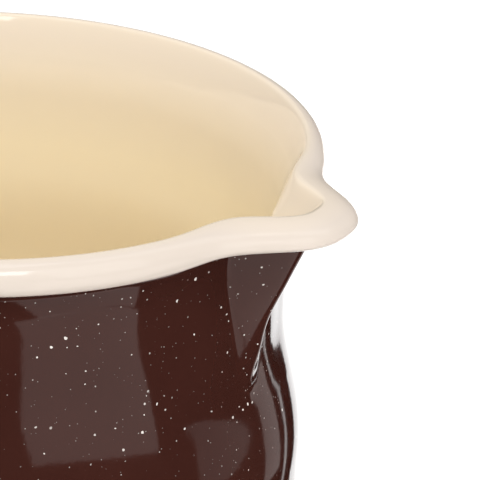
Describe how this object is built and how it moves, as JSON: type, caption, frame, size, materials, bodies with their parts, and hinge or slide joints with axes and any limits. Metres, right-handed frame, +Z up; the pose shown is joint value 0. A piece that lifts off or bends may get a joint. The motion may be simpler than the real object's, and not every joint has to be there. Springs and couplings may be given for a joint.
{
  "type": "melting pot",
  "caption": "Bellied steel melting pot, enamelled cream inside and speckled brown outside, with a rolled rim, a pressed pouring spout and a welded strap handle.",
  "frame": {"origin": "on the pot's axis, in the plane that the pot stands on", "axes": "+Z up, +X towards the pouring spout, -X towards the handle, +Y completes the right-handed frame"},
  "size_m": [0.1595, 0.12, 0.1081],
  "materials": {
    "steel": "cold-rolled enamelling steel, matt grey",
    "weld_steel": "fused spot-weld metal",
    "cream_enamel": "glossy cream vitreous enamel",
    "brown_enamel": "glossy dark brown vitreous enamel with fine white flecks",
    "ground_enamel": "semi-gloss black ground-coat enamel"
  },
  "bodies": {
    "root": {"pot_shell": "steel", "interior_enamel": "cream_enamel", "rim_enamel": "cream_enamel", "outer_enamel": "brown_enamel", "base_enamel": "ground_enamel", "handle_strap": "steel", "handle_enamel": "brown_enamel", "upper_handle_welds": "weld_steel", "lower_handle_welds": "weld_steel"}
  },
  "joints": []
}
